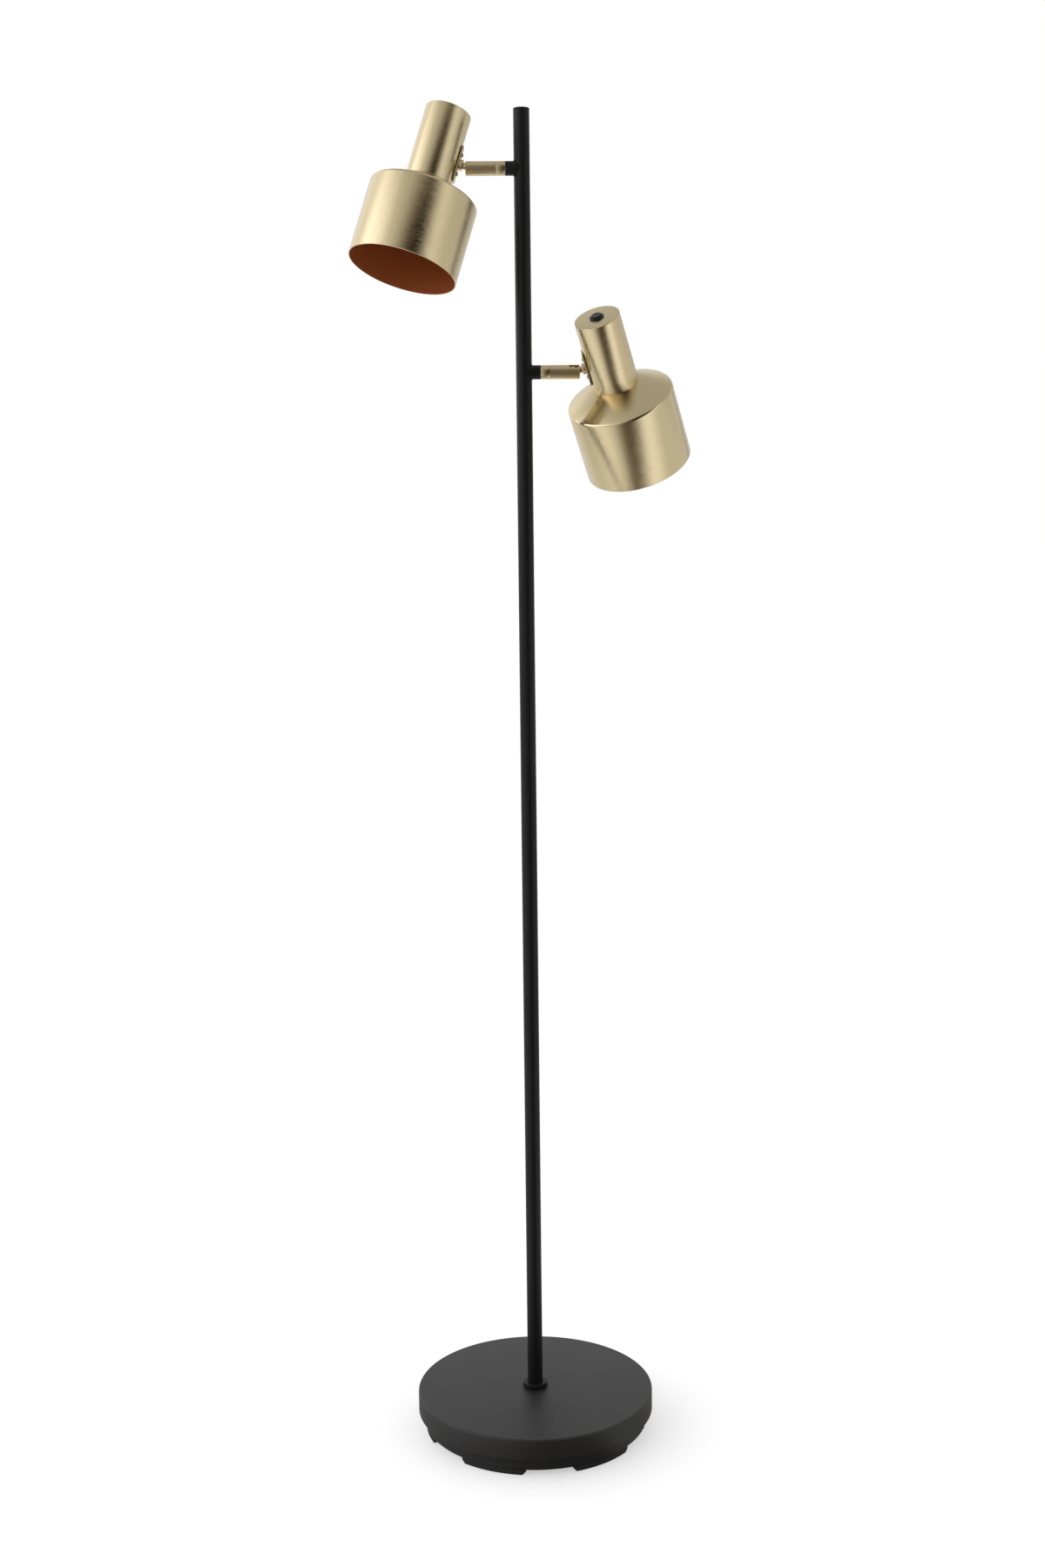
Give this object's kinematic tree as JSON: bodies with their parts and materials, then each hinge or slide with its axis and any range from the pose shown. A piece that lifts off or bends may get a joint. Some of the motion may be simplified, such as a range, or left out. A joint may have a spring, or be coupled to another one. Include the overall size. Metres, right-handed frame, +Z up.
{
  "type": "floor lamp",
  "caption": "Free-standing floor lamp: a round weighted base, a slim black pole and brushed brass spots on swivelling, tilting arms, each with a push switch.",
  "frame": {"origin": "on the floor, under the pole's axis", "axes": "+Z up along the pole, -Y towards the viewer, upper spot towards -X and lower spot towards +X"},
  "size_m": [0.343, 0.25, 1.3693],
  "materials": {
    "satin_black": "satin black paint on steel",
    "brushed_brass": "brushed, pale, lacquered",
    "black_plastic": "moulded, fine grain",
    "switch_plastic": "glossy, moulded",
    "rubber_feet": "matt",
    "cast_weight": "as cast",
    "zinc_steel": "zinc plated",
    "nylon": "natural nylon"
  },
  "bodies": {
    "stand": {"base_cover": "satin_black", "base_tray": "black_plastic", "base_weight": "cast_weight", "foot_pads": "rubber_feet", "cord_gland": "black_plastic", "base_rod": "zinc_steel", "base_washer": "zinc_steel", "base_nut": "zinc_steel", "pole_lower": "satin_black", "pole_upper": "satin_black", "pole_foot_plug": "zinc_steel", "pole_seam_plug": "zinc_steel", "pole_cap": "satin_black", "pole_collar": "satin_black", "upper_arm_boss": "satin_black", "upper_swivel_nipple": "zinc_steel", "upper_arm_collar": "brushed_brass", "lower_arm_boss": "satin_black", "lower_swivel_nipple": "zinc_steel", "lower_arm_collar": "brushed_brass"},
    "upper_arm": {"upper_arm_sleeve": "brushed_brass", "upper_disc_springs": "zinc_steel", "upper_ball_cup": "nylon"},
    "upper_head": {"upper_knuckle": "brushed_brass", "upper_hub_nut": "brushed_brass", "upper_stem_nut": "zinc_steel", "upper_bracket_plate": "brushed_brass", "upper_backing_plate": "zinc_steel", "upper_plate_screws": "brushed_brass", "upper_neck_housing": "brushed_brass", "upper_shade": "brushed_brass", "upper_lampholder": "black_plastic", "upper_holder_shell": "brushed_brass", "upper_holder_contact": "brushed_brass", "upper_shade_ring": "black_plastic", "upper_switch_body": "switch_plastic", "upper_switch_bezel": "switch_plastic"},
    "upper_button": {"upper_switch_button": "switch_plastic"},
    "lower_arm": {"lower_arm_sleeve": "brushed_brass", "lower_disc_springs": "zinc_steel", "lower_ball_cup": "nylon"},
    "lower_head": {"lower_knuckle": "brushed_brass", "lower_hub_nut": "brushed_brass", "lower_stem_nut": "zinc_steel", "lower_bracket_plate": "brushed_brass", "lower_backing_plate": "zinc_steel", "lower_plate_screws": "brushed_brass", "lower_neck_housing": "brushed_brass", "lower_shade": "brushed_brass", "lower_lampholder": "black_plastic", "lower_holder_shell": "brushed_brass", "lower_holder_contact": "brushed_brass", "lower_shade_ring": "black_plastic", "lower_switch_body": "switch_plastic", "lower_switch_bezel": "switch_plastic"},
    "lower_button": {"lower_switch_button": "switch_plastic"}
  },
  "joints": [
    {"name": "upper_swivel", "type": "hinge", "parent": "stand", "child": "upper_arm", "pos_m": [-0.0261, 0, 1.305], "axis": [-1, 0, 0], "range_deg": [-165, 165]},
    {"name": "upper_tilt", "type": "hinge", "parent": "upper_arm", "child": "upper_head", "pos_m": [-0.0484, 0, 1.305], "axis": [0, 0.9711, -0.2385], "range_deg": [-16.6, 48.4]},
    {"name": "upper_switch_press", "type": "slide", "parent": "upper_head", "child": "upper_button", "axis": [-0.2857, -0.2286, -0.9307], "range_m": [0, 0.0015], "stiffness_N_per_m": 400},
    {"name": "lower_swivel", "type": "hinge", "parent": "stand", "child": "lower_arm", "pos_m": [0.0261, 0, 1.108], "axis": [1, 0, 0], "range_deg": [-165, 165]},
    {"name": "lower_tilt", "type": "hinge", "parent": "lower_arm", "child": "lower_head", "pos_m": [0.0484, 0, 1.108], "axis": [0, -0.8616, -0.5075], "range_deg": [-16.9, 48.1]},
    {"name": "lower_switch_press", "type": "slide", "parent": "lower_head", "child": "lower_button", "axis": [0.2907, 0.4856, -0.8244], "range_m": [0, 0.0015], "stiffness_N_per_m": 400}
  ]
}
